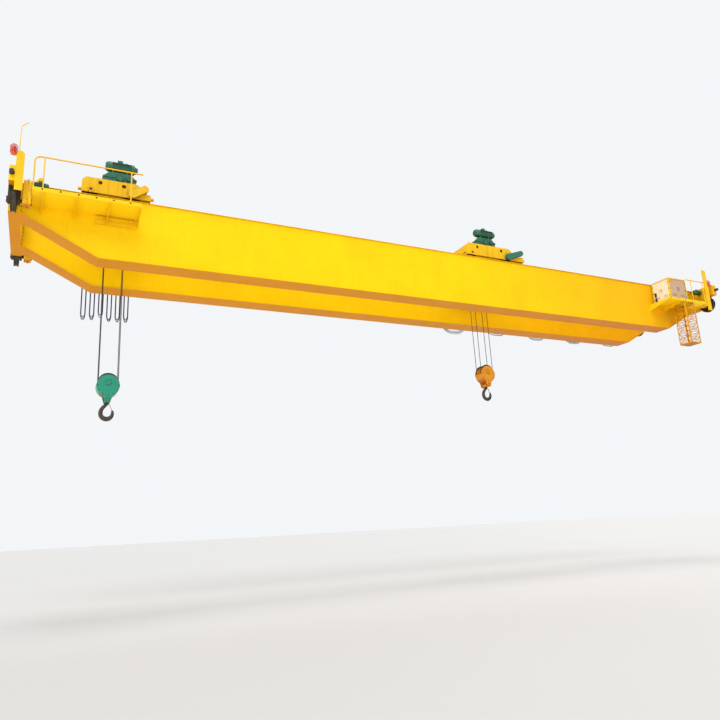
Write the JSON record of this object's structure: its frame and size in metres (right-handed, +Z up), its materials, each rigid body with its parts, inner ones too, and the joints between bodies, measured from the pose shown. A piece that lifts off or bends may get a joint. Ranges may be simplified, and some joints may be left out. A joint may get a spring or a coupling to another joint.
{
  "type": "double girder overhead crane",
  "caption": "Double girder overhead crane: box girders bent up at both ends, end carriages on rail wheels, rope-winch trolleys and swivelling hooks.",
  "frame": {"origin": "midway between the two runway rails and midway along the end carriages, at the height of the rail heads where the wheels touch", "axes": "+X along the girders from the left end to the right end, +Y along the runway rails away from the near girder, +Z up"},
  "size_m": [28.86, 5.18, 8.1526],
  "materials": {
    "block_green": "satin",
    "block_orange": "satin",
    "cabinet_beige": "satin",
    "cable_black": "matt",
    "drive_green": "satin",
    "frame_yellow": "satin",
    "girder_yellow": "semi-gloss",
    "hook_iron": "forged",
    "lamp_red": "gloss",
    "rail_steel": "worn",
    "rope_steel": "greased",
    "rubber_black": "matt",
    "trolley_yellow": "semi-gloss",
    "wheel_steel": "machined tread"
  },
  "bodies": {
    "bridge": {"girder_near_webs": "girder_yellow", "girder_near_top_flange": "girder_yellow", "girder_near_bottom_flange": "girder_yellow", "girder_far_webs": "girder_yellow", "girder_far_top_flange": "girder_yellow", "girder_far_bottom_flange": "girder_yellow", "trolley_rails": "rail_steel", "rail_stops": "frame_yellow", "end_carriage_left": "girder_yellow", "end_carriage_right": "girder_yellow", "bridge_wheels": "wheel_steel", "axle_boxes": "wheel_steel", "buffers": "rubber_black", "travel_gearboxes": "drive_green", "travel_motors": "drive_green", "walkways_near": "frame_yellow", "walkways_far": "frame_yellow", "railings_near": "frame_yellow", "railings_far": "frame_yellow", "control_cabinet": "cabinet_beige", "inspection_cage": "frame_yellow", "lamp_posts": "frame_yellow", "warning_lamps": "lamp_red", "festoon_track": "rail_steel", "festoon_carriers_1": "rail_steel", "festoon_carriers_2": "rail_steel", "festoon_cable_1": "cable_black", "festoon_cable_2": "cable_black"},
    "trolley_1": {"trolley_1_frame": "trolley_yellow", "trolley_1_wheels": "wheel_steel", "trolley_1_drum": "wheel_steel", "trolley_1_gearbox": "drive_green", "trolley_1_hoist_motor": "drive_green", "trolley_1_equaliser": "wheel_steel", "trolley_1_ropes": "rope_steel", "trolley_1_travel_drive": "drive_green"},
    "hook_block_1": {"hook_block_1_cheeks": "block_green", "hook_block_1_sheaves": "wheel_steel"},
    "hook_1": {"hook_1": "hook_iron"},
    "trolley_2": {"trolley_2_frame": "trolley_yellow", "trolley_2_wheels": "wheel_steel", "trolley_2_drum": "wheel_steel", "trolley_2_gearbox": "drive_green", "trolley_2_hoist_motor": "drive_green", "trolley_2_equaliser": "wheel_steel", "trolley_2_ropes": "rope_steel", "trolley_2_travel_drive": "drive_green"},
    "hook_block_2": {"hook_block_2_cheeks": "block_orange", "hook_block_2_sheaves": "wheel_steel"},
    "hook_2": {"hook_2": "hook_iron"}
  },
  "joints": [
    {"name": "trolley_1_travel", "type": "slide", "parent": "bridge", "child": "trolley_1", "axis": [1, 0, 0], "range_m": [-0.5, 9.3], "deforming": ["festoon_cable_1", "festoon_carriers_1"]},
    {"name": "hoist_1", "type": "slide", "parent": "trolley_1", "child": "hook_block_1", "axis": [0, 0, 1], "range_m": [-4.6, 5.1], "deforming": ["trolley_1_ropes"]},
    {"name": "hook_1_swivel", "type": "hinge", "parent": "hook_block_1", "child": "hook_1", "pos_m": [-11.46, 0, -5.155], "axis": [0, 0, 1], "continuous": true},
    {"name": "trolley_2_travel", "type": "slide", "parent": "bridge", "child": "trolley_2", "axis": [1, 0, 0], "range_m": [-1.4, 9.1], "deforming": ["festoon_cable_2", "festoon_carriers_2"]},
    {"name": "hoist_2", "type": "slide", "parent": "trolley_2", "child": "hook_block_2", "axis": [0, 0, 1], "range_m": [-5.7, 4], "deforming": ["trolley_2_ropes"]},
    {"name": "hook_2_swivel", "type": "hinge", "parent": "hook_block_2", "child": "hook_2", "pos_m": [2.61, 0, -4.015], "axis": [0, 0, 1], "continuous": true}
  ]
}
